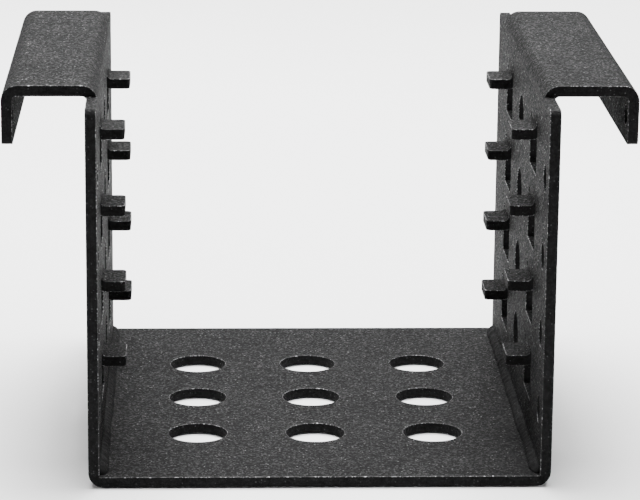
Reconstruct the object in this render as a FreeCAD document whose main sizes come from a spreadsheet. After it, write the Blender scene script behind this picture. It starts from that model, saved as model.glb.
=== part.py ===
import FreeCAD, Part
import math
import os

import Sketcher

# Under-desk CPU holder: a welded U of heavy sheet steel that hangs from two hooked
# flanges and carries small computers on rows of tabs pressed in from its sides.
#
# Frame: millimetres, +Z up, +X to the holder's right, -Y towards the open front.
# The origin is on the underside of the base, in the middle of its width and depth.

# name, millimetres (or a count), what it measures
DIMENSIONS = (
    ("sheet_thickness", 4.5, "every plate"),
    ("inside_width", 180.0, "between the two side plates"),
    ("total_depth", 215.0, "base and side plates, front to back"),
    ("total_height", 162.0, "underside of the base to the top of the flanges"),
    ("bend_radius", 2.0, "inside radius of every bend"),
    ("flange_setback", 25.0, "flange end to plate edge, front and back"),
    ("shoulder_drop", 4.8, "top of the flange to the shoulders in front and behind it"),
    ("shoulder_radius", 3.0, "rounded outer corners of the shoulders"),
    ("hook_gap", 30.0, "side plate to lip, inside the hook"),
    ("lip_drop", 24.5, "top of the flange to the bottom of the lip"),
    ("lip_corner_radius", 2.0, "rounded lower corners of the lip"),
    ("lip_hole_diameter", 8.0, "screw holes in the lips"),
    ("lip_hole_drop", 13.5, "top of the flange to the screw holes"),
    ("lip_hole_pitch", 50.0, "between screw holes"),
    ("lip_hole_count", 4, "screw holes in each lip"),
    ("base_hole_diameter", 25.0, "vent holes in the base"),
    ("base_hole_pitch", 50.0, "between vent holes, both ways"),
    ("tab_reach", 10.0, "side plate to tab tip"),
    ("tab_width", 19.0, "tab, front to back"),
    ("tab_tip_radius", 2.0, "tab corners, seen from above"),
    ("first_tab_top", 36.5, "top of the base to the top of the lowest tabs"),
    ("tab_pitch", 32.5, "between rows of tabs"),
    ("tab_rows", 4, "rows of tabs on each side plate"),
    ("front_column", 59.0, "front edge to the middle of the front tabs"),
    ("column_pitch", 101.0, "middle of the front tabs to the middle of the rear tabs"),
    ("window_width", 25.5, "window round each tab"),
    ("window_below_tab", 19.0, "top of a tab to the bottom of its window"),
    ("relief_height", 1.2, "window above the start of the tab's bend"),
    ("window_corner_radius", 1.0, "lower corners of the windows"),
    ("vent_diameter", 20.0, "holes midway between the two columns of tabs"),
    ("vent_below_tab", 8.3, "top of a tab to the middle of these holes"),
    ("slot_hole_diameter", 11.0, "holes along the front edge"),
    ("slot_hole_inset", 14.0, "front edge to the middle of these holes"),
    ("slot_hole_below_tab", 12.3, "top of a tab to the middle of these holes"),
    ("weld_leg", 3.2, "inside fillet welds"),
    ("weld_face_radius", 5.0, "crowned face of the inside welds"),
    ("weld_setback", 3.0, "plate edge to the end of the inside welds"),
)
BASE_HOLES_EACH_WAY = 3
SHEET = "Dimensions"

# Two places closer than this are the same place.
SAME_PLACE = 0.01
# The cosine above which two directions count as parallel.
PARALLEL = 0.99
# A cut that takes away less than this, in cubic millimetres, has missed.
LEAST_CUT = 1.0


class Length:
    """A size with its value and the spreadsheet formula that it is bound to."""

    def __init__(self, value, formula):
        self.value = float(value)
        self.formula = formula

    def __add__(self, other):
        other = as_length(other)
        return Length(self.value + other.value, f"({self.formula} + {other.formula})")

    def __sub__(self, other):
        other = as_length(other)
        return Length(self.value - other.value, f"({self.formula} - {other.formula})")

    def __mul__(self, factor):
        return Length(self.value * factor, f"({self.formula} * {factor})")

    def __truediv__(self, divisor):
        return Length(self.value / divisor, f"({self.formula} / {divisor})")

    def __neg__(self):
        return Length(-self.value, f"(0 - {self.formula})")


def as_length(number):
    return number if isinstance(number, Length) else Length(number, str(number))


def third_side(hypotenuse, side):
    """The other short side of a right-angled triangle."""
    value = math.sqrt(hypotenuse.value**2 - side.value**2)
    return Length(value, f"sqrt({hypotenuse.formula}^2 - {side.formula}^2)")


def make_sheet(doc):
    """The spreadsheet of driving dimensions, and each one as a Length by name."""
    sheet = doc.addObject("Spreadsheet::Sheet", SHEET)
    sizes = {}
    for row, (name, value, meaning) in enumerate(DIMENSIONS, start=1):
        sheet.set(f"A{row}", meaning)
        sheet.set(f"B{row}", str(value))
        sheet.setAlias(f"B{row}", name)
        sizes[name] = Length(value, f"{SHEET}.{name}")
    doc.recompute()
    return sizes


# ---------------------------------------------------------------- sketch helpers


def new_body(doc, name):
    body = doc.addObject("PartDesign::Body", name)
    body.Label = name
    return body


def sketch_on(body, role, offset, name):
    """A sketch on one of the body's own origin planes, moved along the plane's normal."""
    plane = next(f for f in body.Origin.OriginFeatures if f.Role == role)
    sketch = body.newObject("Sketcher::SketchObject", name)
    sketch.AttachmentSupport = [(plane, "")]
    sketch.MapMode = "FlatFace"
    if offset is not None:
        sketch.setExpression(".AttachmentOffset.Base.z", offset.formula)
    return sketch


def bind(sketch, constraint, size, *extra):
    """Adds a dimension to the sketch and ties it to the spreadsheet."""
    index = sketch.addConstraint(Sketcher.Constraint(constraint, *extra, size.value))
    sketch.setExpression(f"Constraints[{index}]", size.formula)


def pin(sketch, shape, end, x, y):
    """Fixes one point of a sketch curve at x, y from the sketch's origin."""
    for kind, size, axis in (("DistanceX", x, -2), ("DistanceY", y, -1)):
        if size.formula == "0":
            sketch.addConstraint(Sketcher.Constraint("PointOnObject", shape, end, axis))
        else:
            bind(sketch, kind, size, -1, 1, shape, end)


def add_circle(sketch, x, y, diameter):
    middle = FreeCAD.Vector(x.value, y.value, 0)
    circle = Part.Circle(middle, FreeCAD.Vector(0, 0, 1), diameter.value / 2)
    shape = sketch.addGeometry(circle)
    pin(sketch, shape, 3, x, y)
    bind(sketch, "Diameter", diameter, shape)


def add_arc(sketch, start, end, centre, radius):
    """The short arc from start to end. Returns its index and its start and end points."""
    middle = FreeCAD.Vector(centre[0].value, centre[1].value, 0)
    angles = [math.atan2(p[1].value - middle.y, p[0].value - middle.x) for p in (start, end)]
    turns_left = (angles[1] - angles[0]) % (2 * math.pi) < math.pi
    first, last = angles if turns_left else reversed(angles)
    circle = Part.Circle(middle, FreeCAD.Vector(0, 0, 1), radius.value)
    shape = sketch.addGeometry(Part.ArcOfCircle(circle, first, last))
    bind(sketch, "Radius", radius, shape)
    return (shape, 1, 2) if turns_left else (shape, 2, 1)


def add_line(sketch, start, end):
    points = [FreeCAD.Vector(p[0].value, p[1].value, 0) for p in (start, end)]
    return sketch.addGeometry(Part.LineSegment(*points)), 1, 2


def add_outline(sketch, corners):
    """A closed outline. A corner is (x, y), or (x, y, centre, radius) where an arc
    about that centre leads on to the next corner."""
    edges = []
    for corner, following in zip(corners, corners[1:] + corners[:1]):
        if len(corner) == 4:
            edges.append(add_arc(sketch, corner, following, corner[2], corner[3]))
        else:
            edges.append(add_line(sketch, corner, following))
    for edge, previous, corner in zip(edges, edges[-1:] + edges[:-1], corners):
        shape, start, _ = edge
        sketch.addConstraint(Sketcher.Constraint("Coincident", previous[0], previous[2], shape, start))
        pin(sketch, shape, start, corner[0], corner[1])


def pad(body, sketch, length, symmetric, name):
    feature = body.newObject("PartDesign::Pad", name)
    feature.Profile = sketch
    feature.SideType = "Symmetric" if symmetric else "One side"
    feature.setExpression("Length", length.formula)
    return feature


def pocket(body, sketch, name, depth=None):
    """Cuts the sketch out of the body, and makes sure that it took metal away. With no
    depth it cuts both ways right through. With one it cuts that far along the plane's
    normal."""
    doc = body.Document
    doc.recompute()
    before = body.Shape.Volume
    feature = body.newObject("PartDesign::Pocket", name)
    feature.Profile = sketch
    if depth is None:
        feature.Type = "ThroughAll"
        feature.SideType = "Symmetric"
    else:
        feature.Reversed = True
        feature.setExpression("Length", depth.formula)
    doc.recompute()
    if body.Shape.Volume > before - LEAST_CUT:
        raise RuntimeError(f"{name} cut nothing from {body.Label}")
    return feature


def fillet_edges(body, chosen, radius, name):
    """Rounds the edges for which chosen(middle point, direction) is true."""
    body.Document.recompute()
    base = body.Tip
    names = []
    for number, edge in enumerate(base.Shape.Edges, start=1):
        if edge.Curve.TypeId == "Part::GeomLine" and chosen(edge.CenterOfMass, edge.Curve.Direction):
            names.append(f"Edge{number}")
    if not names:
        raise RuntimeError(f"{name} found no edges on {body.Label}")
    feature = body.newObject("PartDesign::Fillet", name)
    feature.Base = (base, names)
    feature.setExpression("Radius", radius.formula)
    return feature


# ---------------------------------------------------------------- sizes used by several pieces


class Layout:
    """Places that several pieces share, worked out from the driving dimensions."""

    def __init__(self, size):
        self.size = size
        self.zero = Length(0, "0")
        self.thickness = size["sheet_thickness"]
        self.inner_x = size["inside_width"] / 2
        self.outer_x = self.inner_x + self.thickness
        self.half_depth = size["total_depth"] / 2
        self.outer_bend = size["bend_radius"] + self.thickness
        self.top = size["total_height"]
        self.bend_start = self.top - self.outer_bend
        self.shoulder_top = self.top - size["shoulder_drop"]
        self.flange_end = self.half_depth - size["flange_setback"]
        self.first_tab_z = self.thickness + size["first_tab_top"]

    def tab_top(self, row):
        return self.first_tab_z + self.size["tab_pitch"] * row

    def rows(self):
        return range(int(self.size["tab_rows"].value))

    def columns(self):
        """The middle of the front and of the rear column of tabs, along Y."""
        front = self.size["front_column"] - self.half_depth
        return front, front + self.size["column_pitch"]

    def lower_corner(self):
        """The round outer edge where base and side plate meet: its centre, and where
        its arc passes the side plate's foot and the base plate's edge."""
        centre = (self.outer_x - self.outer_bend, self.outer_bend)
        foot_x = centre[0] + third_side(self.outer_bend, self.outer_bend - self.thickness)
        edge_z = self.outer_bend - third_side(self.outer_bend, self.inner_x - centre[0])
        return centre, foot_x, edge_z


# ---------------------------------------------------------------- the pieces


def make_base_plate(doc, place):
    """The flat floor, with a square grid of round vent holes."""
    size = place.size
    body = new_body(doc, "base_plate")
    centre, _, edge_z = place.lower_corner()
    section = sketch_on(body, "XZ_Plane", None, "base_section")
    add_outline(
        section,
        [
            (-place.inner_x, place.thickness),
            (-place.inner_x, edge_z, (-centre[0], centre[1]), place.outer_bend),
            (-centre[0], place.zero),
            (centre[0], place.zero, centre, place.outer_bend),
            (place.inner_x, edge_z),
            (place.inner_x, place.thickness),
        ],
    )
    pad(body, section, size["total_depth"], True, "base_pad")

    vents = sketch_on(body, "XY_Plane", None, "base_vents")
    middle = BASE_HOLES_EACH_WAY // 2
    for column in range(BASE_HOLES_EACH_WAY):
        for row in range(BASE_HOLES_EACH_WAY):
            x = size["base_hole_pitch"] * (column - middle) if column != middle else place.zero
            y = size["base_hole_pitch"] * (row - middle) if row != middle else place.zero
            add_circle(vents, x, y, size["base_hole_diameter"])
    pocket(body, vents, "base_vent_cut")
    return body


def draw_side_outline(sketch, place):
    """The upright part of a side plate, seen from the side: level with the start of the
    flange's bend in the middle, and with a higher shoulder at each end."""
    radius = place.size["shoulder_radius"]
    back = place.half_depth
    top = place.shoulder_top
    add_outline(
        sketch,
        [
            (-back, place.thickness),
            (back, place.thickness),
            (back, top - radius, (back - radius, top - radius), radius),
            (back - radius, top),
            (place.flange_end, top),
            (place.flange_end, place.bend_start),
            (-place.flange_end, place.bend_start),
            (-place.flange_end, top),
            (radius - back, top, (radius - back, top - radius), radius),
            (-back, top - radius),
        ],
    )


def draw_hook(sketch, place):
    """Section of the flange and lip: up from the plate, over, and down again."""
    inner = place.size["bend_radius"]
    outer = place.outer_bend
    bend_in = place.outer_x + inner
    lip_in = place.outer_x + place.size["hook_gap"]
    lip_out = lip_in + place.thickness
    bend_out = lip_in - inner
    under = place.top - place.thickness
    spring = place.bend_start
    lip_bottom = place.top - place.size["lip_drop"]
    root = spring - place.thickness
    add_outline(
        sketch,
        [
            (place.inner_x, root),
            (place.inner_x, spring, (bend_in, spring), outer),
            (bend_in, place.top),
            (bend_out, place.top, (bend_out, spring), outer),
            (lip_out, spring),
            (lip_out, lip_bottom),
            (lip_in, lip_bottom),
            (lip_in, spring, (bend_out, spring), inner),
            (bend_out, under),
            (bend_in, under, (bend_in, spring), inner),
            (place.outer_x, spring),
            (place.outer_x, root),
        ],
    )


def draw_windows(sketch, place):
    """The rectangular windows that leave room to press each tab out of the plate."""
    size = place.size
    half = size["window_width"] / 2
    radius = size["window_corner_radius"]
    for column in place.columns():
        for row in place.rows():
            top = place.tab_top(row) + size["bend_radius"] + size["relief_height"]
            bottom = place.tab_top(row) - size["window_below_tab"]
            left, right = column - half, column + half
            add_outline(
                sketch,
                [
                    (left, top),
                    (left, bottom + radius, (left + radius, bottom + radius), radius),
                    (left + radius, bottom),
                    (right - radius, bottom, (right - radius, bottom + radius), radius),
                    (right, bottom + radius),
                    (right, top),
                ],
            )


def draw_side_holes(sketch, place):
    """Two columns of round holes, one hole of each below every row of tabs."""
    size = place.size
    front, rear = place.columns()
    between = (front + rear) / 2
    near_front = size["slot_hole_inset"] - place.half_depth
    for row in place.rows():
        vent_z = place.tab_top(row) - size["vent_below_tab"]
        slot_z = place.tab_top(row) - size["slot_hole_below_tab"]
        add_circle(sketch, between, vent_z, size["vent_diameter"])
        add_circle(sketch, near_front, slot_z, size["slot_hole_diameter"])


def draw_tabs(sketch, place):
    """Section of one column of tabs: down the plate, round the bend, and inwards."""
    size = place.size
    inner = size["bend_radius"]
    outer = place.outer_bend
    bend_x = place.inner_x - inner
    tip = place.inner_x - size["tab_reach"]
    for row in place.rows():
        top = place.tab_top(row)
        under = top - place.thickness
        spring = top + inner
        root = spring + size["relief_height"] * 2
        centre = (bend_x, spring)
        add_outline(
            sketch,
            [
                (place.inner_x, root),
                (place.inner_x, spring, centre, inner),
                (bend_x, top),
                (tip, top),
                (tip, under),
                (bend_x, under, centre, outer),
                (place.outer_x, spring),
                (place.outer_x, root),
            ],
        )


def draw_lip_holes(sketch, place):
    size = place.size
    count = int(size["lip_hole_count"].value)
    for index in range(count):
        y = size["lip_hole_pitch"] * (index - (count - 1) / 2)
        add_circle(sketch, y, place.top - size["lip_hole_drop"], size["lip_hole_diameter"])


def make_side_plate(doc, place):
    """One side, folded from a single plate: upright, pressed tabs, flange and lip."""
    size = place.size
    body = new_body(doc, "right_side_plate")
    upright = sketch_on(body, "YZ_Plane", place.inner_x, "upright_outline")
    draw_side_outline(upright, place)
    pad(body, upright, place.thickness, False, "upright_pad")

    openings = sketch_on(body, "YZ_Plane", place.inner_x, "window_outlines")
    draw_windows(openings, place)
    pocket(body, openings, "window_cut")
    holes = sketch_on(body, "YZ_Plane", place.inner_x, "side_hole_circles")
    draw_side_holes(holes, place)
    pocket(body, holes, "side_hole_cut")

    for name, column in zip(("front", "rear"), place.columns()):
        tabs = sketch_on(body, "XZ_Plane", -column, f"{name}_tab_section")
        draw_tabs(tabs, place)
        pad(body, tabs, size["tab_width"], True, f"{name}_tab_pad")
    tip = place.inner_x - size["tab_reach"]

    def is_tab_corner(middle, direction):
        return abs(middle.x - tip.value) < SAME_PLACE and abs(direction.z) > PARALLEL

    fillet_edges(body, is_tab_corner, size["tab_tip_radius"], "tab_tip_rounding")

    hook = sketch_on(body, "XZ_Plane", None, "hook_section")
    draw_hook(hook, place)
    pad(body, hook, place.flange_end * 2, True, "hook_pad")
    lip_face = place.outer_x + size["hook_gap"]
    lip_bottom = place.top - size["lip_drop"]

    def is_lip_corner(middle, direction):
        at_bottom = abs(middle.z - lip_bottom.value) < SAME_PLACE
        return middle.x > lip_face.value and at_bottom and abs(direction.x) > PARALLEL

    fillet_edges(body, is_lip_corner, size["lip_corner_radius"], "lip_corner_rounding")
    lip_holes = sketch_on(body, "YZ_Plane", lip_face, "lip_hole_circles")
    draw_lip_holes(lip_holes, place)
    pocket(body, lip_holes, "lip_hole_cut", depth=place.thickness)

    foot = sketch_on(body, "XZ_Plane", None, "foot_blend_section")
    draw_foot_blend(foot, place)
    pocket(body, foot, "foot_blend_cut")
    return body


def draw_foot_blend(sketch, place):
    """What is ground off the foot of a side plate so that the corner is round."""
    centre, foot_x, _ = place.lower_corner()
    beyond = place.outer_x + place.thickness
    add_outline(
        sketch,
        [
            (place.outer_x, centre[1], centre, place.outer_bend),
            (foot_x, place.thickness),
            (foot_x, place.zero),
            (beyond, place.zero),
            (beyond, centre[1]),
        ],
    )


def make_outer_weld(doc, place):
    """Weld metal that fills the open corner between the plates, ground round outside."""
    body = new_body(doc, "right_outer_weld")
    centre, foot_x, edge_z = place.lower_corner()
    section = sketch_on(body, "XZ_Plane", None, "outer_weld_section")
    add_outline(
        section,
        [
            (place.inner_x, place.thickness),
            (place.inner_x, edge_z, centre, place.outer_bend),
            (foot_x, place.thickness),
        ],
    )
    pad(body, section, place.size["total_depth"], True, "outer_weld_pad")
    return body


def make_inner_weld(doc, place):
    """Crowned fillet weld along the inside corner, stopped short of both ends."""
    leg = place.size["weld_leg"]
    radius = place.size["weld_face_radius"]
    body = new_body(doc, "right_inner_weld")
    # The face's centre is on the diagonal of the corner, this far beyond both plates.
    beyond = third_side(radius / math.sqrt(2), leg / 2) - leg / 2
    centre = (place.inner_x + beyond, place.thickness - beyond)
    section = sketch_on(body, "XZ_Plane", None, "inner_weld_section")
    add_outline(
        section,
        [
            (place.inner_x, place.thickness),
            (place.inner_x, place.thickness + leg, centre, radius),
            (place.inner_x - leg, place.thickness),
        ],
    )
    length = place.size["total_depth"] - place.size["weld_setback"] * 2
    pad(body, section, length, True, "inner_weld_pad")
    return body


def mirror_to_left(doc, body):
    """The same piece on the left side, mirrored in the plane X = 0."""
    name = body.Label.replace("right_", "left_")
    mirrored = doc.addObject("Part::Mirroring", name)
    mirrored.Label = name
    mirrored.Source = body
    mirrored.Base = FreeCAD.Vector(0, 0, 0)
    mirrored.Normal = FreeCAD.Vector(1, 0, 0)
    return mirrored


# ---------------------------------------------------------------- document and files


def check_document(doc, pieces):
    for item in doc.Objects:
        faults = {"Invalid", "Error"} & set(item.State)
        if faults:
            raise RuntimeError(f"{item.Name} is {faults}")
    for piece in pieces:
        shape = piece.Shape
        if shape.isNull() or not shape.isValid() or len(shape.Solids) != 1:
            raise RuntimeError(f"{piece.Label} is not one valid solid")


def main():
    doc = FreeCAD.newDocument("cpu_holder")
    place = Layout(make_sheet(doc))
    right_hand = [make(doc, place) for make in (make_side_plate, make_outer_weld, make_inner_weld)]
    pieces = [make_base_plate(doc, place), *right_hand]
    doc.recompute()
    pieces += [mirror_to_left(doc, body) for body in right_hand]
    doc.recompute()
    check_document(doc, pieces)
    os.makedirs("parts", exist_ok=True)
    for piece in pieces:
        piece.Shape.exportStep(f"parts/{piece.Label}.step")
        box = piece.Shape.BoundBox
        size = f"{box.XLength:.1f} x {box.YLength:.1f} x {box.ZLength:.1f} mm"
        print(f"{piece.Label}: {size}, {piece.Shape.Volume:.0f} mm3")


main()
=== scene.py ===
import itertools
import math

import bmesh
import bpy
from mathutils import Matrix, Vector, noise


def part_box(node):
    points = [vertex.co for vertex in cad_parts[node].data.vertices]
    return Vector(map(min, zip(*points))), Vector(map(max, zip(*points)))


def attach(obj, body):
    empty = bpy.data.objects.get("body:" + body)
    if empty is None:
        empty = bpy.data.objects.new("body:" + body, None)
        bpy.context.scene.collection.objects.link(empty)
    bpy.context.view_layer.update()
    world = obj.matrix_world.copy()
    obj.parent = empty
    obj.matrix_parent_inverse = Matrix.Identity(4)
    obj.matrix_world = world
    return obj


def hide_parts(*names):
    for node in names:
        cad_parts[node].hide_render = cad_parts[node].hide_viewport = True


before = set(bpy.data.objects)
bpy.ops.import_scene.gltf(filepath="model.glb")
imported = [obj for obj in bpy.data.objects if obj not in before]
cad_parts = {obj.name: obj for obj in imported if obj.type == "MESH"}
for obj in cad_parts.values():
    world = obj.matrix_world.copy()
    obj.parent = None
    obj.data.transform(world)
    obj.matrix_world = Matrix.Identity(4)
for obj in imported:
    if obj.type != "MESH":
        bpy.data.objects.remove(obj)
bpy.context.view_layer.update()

MM = 0.001
PLATES = ("base_plate", "left_side_plate", "right_side_plate")
OUTER_WELDS = ("left_outer_weld", "right_outer_weld")
# Just inside the planes where the base plate ends and where the side plates start.
PLATE_JOINT_X = 89.9 * MM
PLATE_JOINT_Z = 4.6 * MM

# Where a Mix node keeps its colour sockets.
COLOUR_A, COLOUR_B, COLOUR_RESULT = 6, 7, 2
# Most of a noise lies between these two values.
LOW_NOISE, HIGH_NOISE = 0.3, 0.7

# ---------------------------------------------------------------- material helpers


class Nodes:
    """Adds shader nodes to one material and links them."""

    def __init__(self, name):
        self.material = bpy.data.materials.new(name)
        self.material.use_nodes = True
        self.tree = self.material.node_tree
        self.shader = self.tree.nodes["Principled BSDF"]
        self.place = self.add("ShaderNodeTexCoord").outputs["Object"]

    def add(self, kind, **settings):
        node = self.tree.nodes.new(kind)
        for name, value in settings.items():
            setattr(node, name, value)
        return node

    def put(self, value, socket):
        """Sets a socket to a number or colour, or links it to another node's output."""
        if isinstance(value, bpy.types.NodeSocket):
            self.tree.links.new(value, socket)
        else:
            socket.default_value = value

    def noise(self, size, detail=2.0, roughness=0.5):
        """Cloudy noise from 0 to 1 whose blotches are about this size in metres."""
        node = self.add("ShaderNodeTexNoise")
        self.put(self.place, node.inputs["Vector"])
        node.inputs["Scale"].default_value = 1.0 / size
        node.inputs["Detail"].default_value = detail
        node.inputs["Roughness"].default_value = roughness
        return node.outputs["Fac"]

    def cells(self, size):
        """Random cells about this size in metres: distance to the middle, and a random colour."""
        node = self.add("ShaderNodeTexVoronoi")
        self.put(self.place, node.inputs["Vector"])
        node.inputs["Scale"].default_value = 1.0 / size
        return node.outputs["Distance"], node.outputs["Color"]

    def remap(self, value, low, high, to_low=0.0, to_high=1.0):
        node = self.add("ShaderNodeMapRange")
        self.put(value, node.inputs["Value"])
        for name, number in (("From Min", low), ("From Max", high), ("To Min", to_low), ("To Max", to_high)):
            node.inputs[name].default_value = number
        return node.outputs["Result"]

    def math(self, operation, first, second):
        node = self.add("ShaderNodeMath", operation=operation)
        self.put(first, node.inputs[0])
        self.put(second, node.inputs[1])
        return node.outputs["Value"]

    def blend_colour(self, factor, first, second):
        node = self.add("ShaderNodeMix", data_type="RGBA")
        self.put(factor, node.inputs["Factor"])
        self.put(first, node.inputs[COLOUR_A])
        self.put(second, node.inputs[COLOUR_B])
        return node.outputs[COLOUR_RESULT]

    def bump(self, height, distance, strength, normal=None):
        node = self.add("ShaderNodeBump")
        node.inputs["Strength"].default_value = strength
        node.inputs["Distance"].default_value = distance
        self.put(height, node.inputs["Height"])
        if normal is not None:
            self.put(normal, node.inputs["Normal"])
        return node.outputs["Normal"]


def grey(value, blue=0.0):
    return (value, value, value * (1.0 + blue), 1.0)


# The coat: the sizes of its blotches, of the areas that handling has polished, and of the
# facets and flecks, and its two depths of grain.
BLOTCH_SIZE = 2.4 * MM
HANDLING_SIZE = 28 * MM
FACET_SIZE = 0.75 * MM
COARSE_GRAIN, COARSE_HEIGHT = 1.00 * MM, 0.25 * MM
FINE_GRAIN, FINE_HEIGHT = 0.50 * MM, 0.10 * MM
DARK_COAT, PALE_COAT = grey(0.004), grey(0.008, blue=0.03)
DARK_FLECK, PALE_FLECK = grey(0.01), grey(0.05, blue=0.02)
FLECK_METAL = 0.85
# The share of the flecks that show at full strength; the others fade into the ground.
FULL_FLECKS = 0.8
# A fleck is full up to here and gone from here, in facets from its middle.
FLECK_MIDDLE, FLECK_RIM = 0.25, 0.50
# Roughness of the polished and of the untouched coat, and how much less it is on the
# glossiest facets and on flecks.
POLISHED, UNTOUCHED = 0.94, 1.0
GLOSSY_FACET = 0.40
GLOSSY_FLECK = 0.30
# The share of the facets that are glossier than the rest.
GLOSSY_SHARE = 0.6
COAT_SPECULAR = 0.074


def powder_coat(name, fleck_share, grain):
    """Black powder coat: a fine leathery grain, facets that are duller or glossier, blotches,
    and a few metal flecks that catch the light."""
    n = Nodes(name)
    blotches = n.noise(BLOTCH_SIZE, detail=3.0)
    handling = n.noise(HANDLING_SIZE, detail=4.0)
    ground = n.blend_colour(n.remap(blotches, LOW_NOISE, HIGH_NOISE), DARK_COAT, PALE_COAT)

    middle_distance, cell_colour = n.cells(FACET_SIZE)
    chance = n.add("ShaderNodeSeparateColor")
    n.put(cell_colour, chance.inputs["Color"])
    chosen = n.remap(chance.outputs["Red"], 1.0 - fleck_share, 1.0 - fleck_share * FULL_FLECKS)
    fleck = n.math("MULTIPLY", chosen, n.remap(middle_distance, FLECK_RIM, FLECK_MIDDLE))
    fleck_shade = n.blend_colour(chance.outputs["Green"], DARK_FLECK, PALE_FLECK)
    n.put(n.blend_colour(fleck, ground, fleck_shade), n.shader.inputs["Base Color"])
    n.put(n.remap(fleck, 0.0, 1.0, 0.0, FLECK_METAL), n.shader.inputs["Metallic"])

    facet = n.remap(chance.outputs["Blue"], 0.0, GLOSSY_SHARE, -GLOSSY_FACET * grain, 0.0)
    touched = n.remap(handling, LOW_NOISE, HIGH_NOISE, POLISHED, UNTOUCHED)
    dull = n.math("ADD", touched, facet)
    gloss = n.remap(fleck, 0.0, 1.0, 0.0, GLOSSY_FLECK)
    n.put(n.math("SUBTRACT", dull, gloss), n.shader.inputs["Roughness"])
    n.shader.inputs["Specular IOR Level"].default_value = COAT_SPECULAR

    coarse = n.bump(n.noise(COARSE_GRAIN, detail=2.0), COARSE_HEIGHT, grain)
    fine = n.bump(n.noise(FINE_GRAIN, detail=1.0), FINE_HEIGHT, grain, coarse)
    n.put(fine, n.shader.inputs["Normal"])
    return n.material


# The coat on edges: the sizes of its bright specks and of its glossy patches, between which
# values of their noises they begin and are full, and its grain.
SPECK_SIZE = 0.9 * MM
SPECK_FROM, SPECK_TO = 0.56, 0.64
GLOSSY_SIZE = 2.0 * MM
GLOSSY_TO, GLOSSY_FROM = 0.38, 0.62
EDGE_GRAIN, EDGE_HEIGHT, EDGE_STRENGTH = 0.80 * MM, 0.08 * MM, 0.8
THIN_COAT, BRIGHT_SPECK = grey(0.006), grey(0.28, blue=0.03)
SPECK_METAL = 0.9
GLOSSY_EDGE, DULL_EDGE = 0.34, 1.0
EDGE_SPECULAR = 0.35


def worn_edge():
    """The same coat on an edge: it pulls back there, so it is thin and glossy in patches, and
    its flecks and rubbed spots show as a broken line of bright specks."""
    n = Nodes("thin_coat_on_edges")
    speck = n.remap(n.noise(SPECK_SIZE, detail=4.0), SPECK_FROM, SPECK_TO)
    n.put(n.blend_colour(speck, THIN_COAT, BRIGHT_SPECK), n.shader.inputs["Base Color"])
    n.put(n.remap(speck, 0.0, 1.0, 0.0, SPECK_METAL), n.shader.inputs["Metallic"])
    patches = n.noise(GLOSSY_SIZE, detail=3.0)
    roughness = n.remap(patches, GLOSSY_TO, GLOSSY_FROM, GLOSSY_EDGE, DULL_EDGE)
    n.put(roughness, n.shader.inputs["Roughness"])
    n.shader.inputs["Specular IOR Level"].default_value = EDGE_SPECULAR
    n.put(n.bump(n.noise(EDGE_GRAIN), EDGE_HEIGHT, EDGE_STRENGTH), n.shader.inputs["Normal"])
    return n.material


def floor_material():
    """Matt pale paint with very faint, wide clouds."""
    n = Nodes("pale_floor")
    tone = n.remap(n.noise(400 * MM, detail=2.0), LOW_NOISE, HIGH_NOISE)
    n.put(n.blend_colour(tone, grey(0.86), grey(0.90)), n.shader.inputs["Base Color"])
    n.shader.inputs["Roughness"].default_value = 0.9
    return n.material


# ---------------------------------------------------------------- the CAD pieces


def dress(piece, material):
    piece.data.materials.clear()
    piece.data.materials.append(material)


# Where two faces meet at a sharper angle than this, the edge is rounded.
SHARP_ANGLE = math.radians(35)
# Triangles of one flat face that meet at a smaller angle than this become one face.
FLAT_ANGLE = math.radians(0.5)
EDGE_RADIUS = 0.26 * MM
EDGE_SEGMENTS = 2
SAME_PLACE = 0.001 * MM
# The place of the edge material in a piece's list; the coat is at 0.
EDGE_MATERIAL = 1
# A corner has room for the rounding if its edges are this long and this far apart. An
# edge that runs on past the corner as part of a curve may be shorter.
LEAST_EDGE = 1.2 * EDGE_RADIUS
LEAST_SPREAD = math.radians(40)
RUNS_ON = math.radians(150)


def edges_by_place(mesh):
    """The edges between two places, and the faces that meet there. The CAD mesh keeps the
    faces of its surfaces apart, so an edge between two surfaces is there twice."""
    found = {}
    for edge in mesh.edges:
        ends = frozenset(vertex.co.copy().freeze() for vertex in edge.verts)
        edges, faces = found.setdefault(ends, ([], []))
        edges.append(edge)
        faces.extend(edge.link_faces)
    return found


def crowded_places(sharp_ends):
    """The corners that have no room for a rounding: a very short edge stops there, or two
    sharp edges leave at nearly the same angle."""
    leaving = {}
    for start, end in sharp_ends:
        leaving.setdefault(start, []).append(end - start)
        leaving.setdefault(end, []).append(start - end)
    crowded = set()
    for place, ways in leaving.items():
        narrow = any(one.angle(other) < LEAST_SPREAD for one, other in itertools.combinations(ways, 2))
        short = [way for way in ways if way.length < LEAST_EDGE]
        stopped = any(max(way.angle(other) for other in ways) < RUNS_ON for way in short)
        if narrow or stopped:
            crowded.add(place)
    return crowded


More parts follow.
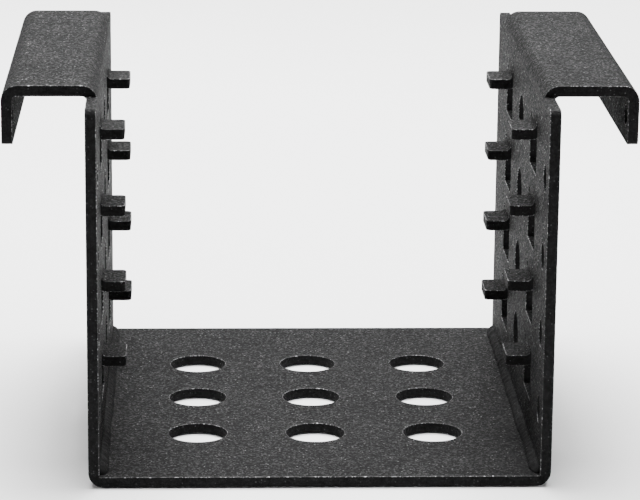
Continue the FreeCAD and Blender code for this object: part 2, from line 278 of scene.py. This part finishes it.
def soften_edges(node, material, at_a_joint):
    """A small rounding on every sharp edge, in its own material, but not where
    at_a_joint(place) says that the piece runs on into the next one."""
    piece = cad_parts[node]
    piece.data.materials.append(material)
    mesh = bmesh.new()
    mesh.from_mesh(piece.data)
    weights = mesh.edges.layers.float.new("bevel_weight_edge")
    found = edges_by_place(mesh)
    sharp_ends = [ends for ends, (_, faces) in found.items()
                  if faces[0].normal.angle(faces[1].normal) > SHARP_ANGLE]
    crowded = crowded_places(sharp_ends)
    for ends in sharp_ends:
        start, end = ends
        joined = all(at_a_joint(place) for place in (start, end, (start + end) / 2))
        rounded = crowded.isdisjoint(ends) and not joined
        for edge in found[ends][0]:
            edge[weights] = 1.0 if rounded else 0.0
            edge.smooth = False
    mesh.to_mesh(piece.data)
    mesh.free()
    joining = piece.modifiers.new("join_surfaces", "WELD")
    joining.merge_threshold = SAME_PLACE
    flattening = piece.modifiers.new("join_flat_triangles", "DECIMATE")
    flattening.decimate_type = "DISSOLVE"
    flattening.angle_limit = FLAT_ANGLE
    rounding = piece.modifiers.new("edge_rounding", "BEVEL")
    rounding.limit_method = "WEIGHT"
    rounding.width = EDGE_RADIUS
    rounding.segments = EDGE_SEGMENTS
    rounding.use_clamp_overlap = False
    rounding.harden_normals = True
    rounding.material = EDGE_MATERIAL


# ---------------------------------------------------------------- the inside welds

# Spacing of the rings along a bead and number of points across its crowned face.
BEAD_STEP = 0.5 * MM
BEAD_POINTS = 9
# The radius of the face, in legs of the fillet.
FACE_LEGS = 1.5625
# The legs wander slowly; the ripples come from the wire feed.
LEG_WANDER = 0.55 * MM
WANDER_SIZE = 26 * MM
LEG_UNEVENNESS = 0.30 * MM
UNEVENNESS_SIZE = 5 * MM
RIPPLE_HEIGHT = 0.32 * MM
RIPPLE_SIZE = 2.2 * MM
RIPPLES_ACROSS = 3.0
# Over this length at each end the legs shrink to this share.
RUN_OUT = 6.0 * MM
RUN_OUT_SHARE = 0.3


def bead_leg(along, end_distance, leg, side):
    """The leg of the fillet at one place: it wanders, and runs out at the ends. Each noise is
    read along its own line, one for each side."""
    wander = LEG_WANDER * noise.noise((along / WANDER_SIZE, side * 3.0, 0.0))
    uneven = LEG_UNEVENNESS * noise.noise((along / UNEVENNESS_SIZE, side * 5.0, 0.0))
    share = min(end_distance / RUN_OUT, 1.0)
    rounded = math.sqrt(share * (2.0 - share))
    return (leg + wander + uneven) * (RUN_OUT_SHARE + (1.0 - RUN_OUT_SHARE) * rounded)


def bead_ring(corner, along, leg, side):
    """One section: the crowned face from the wall down to the base, then the corner. The
    middle of the face's circle lies beyond the corner, out in the wall and down in the base."""
    radius = leg * FACE_LEGS
    beyond = leg * (math.sqrt(FACE_LEGS ** 2 / 2 - 0.25) - 0.5)
    first = math.atan2(beyond, leg + beyond)
    ring = []
    for point in range(BEAD_POINTS):
        turn = point / (BEAD_POINTS - 1)
        angle = first + (math.pi / 2 - 2 * first) * turn
        place = (along / RIPPLE_SIZE, turn * RIPPLES_ACROSS, side * 7.0)
        lift = RIPPLE_HEIGHT * noise.noise(place) * math.sin(math.pi * turn)
        reach = radius + lift
        ring.append((corner.x + side * (beyond - reach * math.sin(angle)),
                     along,
                     corner.z - beyond + reach * math.cos(angle)))
    ring.append((corner.x, along, corner.z))
    return ring


def weld_bead(node, side, material):
    """The hand-laid fillet along one inside corner, in place of the plain CAD fillet."""
    low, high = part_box(node)
    corner = Vector((high[0] if side > 0 else low[0], 0.0, low[2]))
    leg = high[2] - low[2]
    steps = round((high[1] - low[1]) / BEAD_STEP)
    mesh = bmesh.new()
    rings = []
    for step in range(steps + 1):
        along = low[1] + (high[1] - low[1]) * step / steps
        end_distance = min(along - low[1], high[1] - along)
        section = bead_ring(corner, along, bead_leg(along, end_distance, leg, side), side)
        rings.append([mesh.verts.new(place) for place in section])
    for ring, following in zip(rings, rings[1:]):
        for first, second in zip(range(len(ring)), [*range(1, len(ring)), 0]):
            mesh.faces.new((ring[first], ring[second], following[second], following[first]))
    mesh.faces.new(rings[0])
    mesh.faces.new(rings[-1])
    bmesh.ops.recalc_face_normals(mesh, faces=mesh.faces)
    for face in mesh.faces:
        face.smooth = len(face.verts) == 4
    data = bpy.data.meshes.new(node + "_bead")
    mesh.to_mesh(data)
    mesh.free()
    bead = bpy.data.objects.new(node + "_bead", data)
    bpy.context.scene.collection.objects.link(bead)
    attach(bead, "root")
    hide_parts(node)
    dress(bead, material)


# ---------------------------------------------------------------- the studio

# The floor in metres. It lies just below the holder, so that the two don't share a plane.
FLOOR_SIZE = 12.0
FLOOR_PLACE = (0.0, 2.0, -0.3 * MM)


def make_floor():
    bpy.ops.mesh.primitive_plane_add(size=FLOOR_SIZE, location=FLOOR_PLACE)
    floor = bpy.context.object
    floor.name = "floor"
    floor.data.materials.append(floor_material())


# name, place, target, width and depth in metres, and power in watts
LIGHTS = (
    ("overhead_softbox", (0.0, 0.45, 1.4), (0.0, 0.45, 0.0), 1.0, 1.2, 110),
    ("back_softbox", (0.0, 2.4, 1.3), (0.0, 0.0, 0.1), 1.2, 1.4, 44),
    ("front_strip", (0.0, -0.5, 1.4), (0.0, -0.1, 0.0), 1.0, 0.25, 8),
    ("left_softbox", (-1.5, 0.0, 0.35), (-0.1, 0.0, 0.08), 0.9, 0.5, 15),
    ("right_softbox", (1.5, 0.0, 0.35), (0.1, 0.0, 0.08), 0.9, 0.5, 15),
)
SKY_STRENGTH = 0.05


def area_light(name, place, target, width, depth, power):
    data = bpy.data.lights.new(name, "AREA")
    data.shape = "RECTANGLE"
    data.size = width
    data.size_y = depth
    data.energy = power
    light = bpy.data.objects.new(name, data)
    light.location = place
    light.rotation_euler = (Vector(target) - Vector(place)).to_track_quat("-Z", "Y").to_euler()
    bpy.context.scene.collection.objects.link(light)


def make_lights():
    for light in LIGHTS:
        area_light(*light)
    world = bpy.data.worlds.new("studio")
    world.use_nodes = True
    background = world.node_tree.nodes["Background"]
    background.inputs["Color"].default_value = grey(1.0)
    background.inputs["Strength"].default_value = SKY_STRENGTH
    bpy.context.scene.world = world


# The camera: where it stands in metres, and how it is turned, in radians.
CAMERA_PLACE = (-0.0487, -1.2964, 0.4182)
CAMERA_YAW = 0.0401
CAMERA_PITCH = 0.2611
CAMERA_ROLL = 0.0093
# The lens in millimetres on a sensor this wide.
CAMERA_LENS = 173.2
SENSOR_WIDTH = 36.0


def make_camera():
    data = bpy.data.cameras.new("camera")
    data.sensor_width = SENSOR_WIDTH
    data.lens = CAMERA_LENS
    camera = bpy.data.objects.new("camera", data)
    bpy.context.scene.collection.objects.link(camera)
    ahead = Vector((math.sin(CAMERA_YAW) * math.cos(CAMERA_PITCH),
                    math.cos(CAMERA_YAW) * math.cos(CAMERA_PITCH),
                    -math.sin(CAMERA_PITCH)))
    right = Vector((math.cos(CAMERA_YAW), -math.sin(CAMERA_YAW), 0.0))
    up = right.cross(ahead)
    turned_right = right * math.cos(CAMERA_ROLL) + up * math.sin(CAMERA_ROLL)
    turned_up = up * math.cos(CAMERA_ROLL) - right * math.sin(CAMERA_ROLL)
    camera.matrix_world = Matrix.Translation(CAMERA_PLACE) @ Matrix(
        (turned_right, turned_up, -ahead)).transposed().to_4x4()
    bpy.context.scene.camera = camera


def main():
    coat = powder_coat("textured_black_coat", fleck_share=0.07, grain=1.0)
    weld_coat = powder_coat("coat_over_weld", fleck_share=0.04, grain=0.5)
    for node in PLATES:
        dress(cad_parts[node], coat)
    for node in OUTER_WELDS:
        dress(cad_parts[node], weld_coat)
    edge_coat = worn_edge()
    soften_edges("base_plate", edge_coat, lambda place: abs(place.x) > PLATE_JOINT_X)
    soften_edges("left_side_plate", edge_coat, lambda place: place.z < PLATE_JOINT_Z)
    soften_edges("right_side_plate", edge_coat, lambda place: place.z < PLATE_JOINT_Z)
    weld_bead("left_inner_weld", -1, weld_coat)
    weld_bead("right_inner_weld", 1, weld_coat)
    make_floor()
    make_lights()
    make_camera()


main()
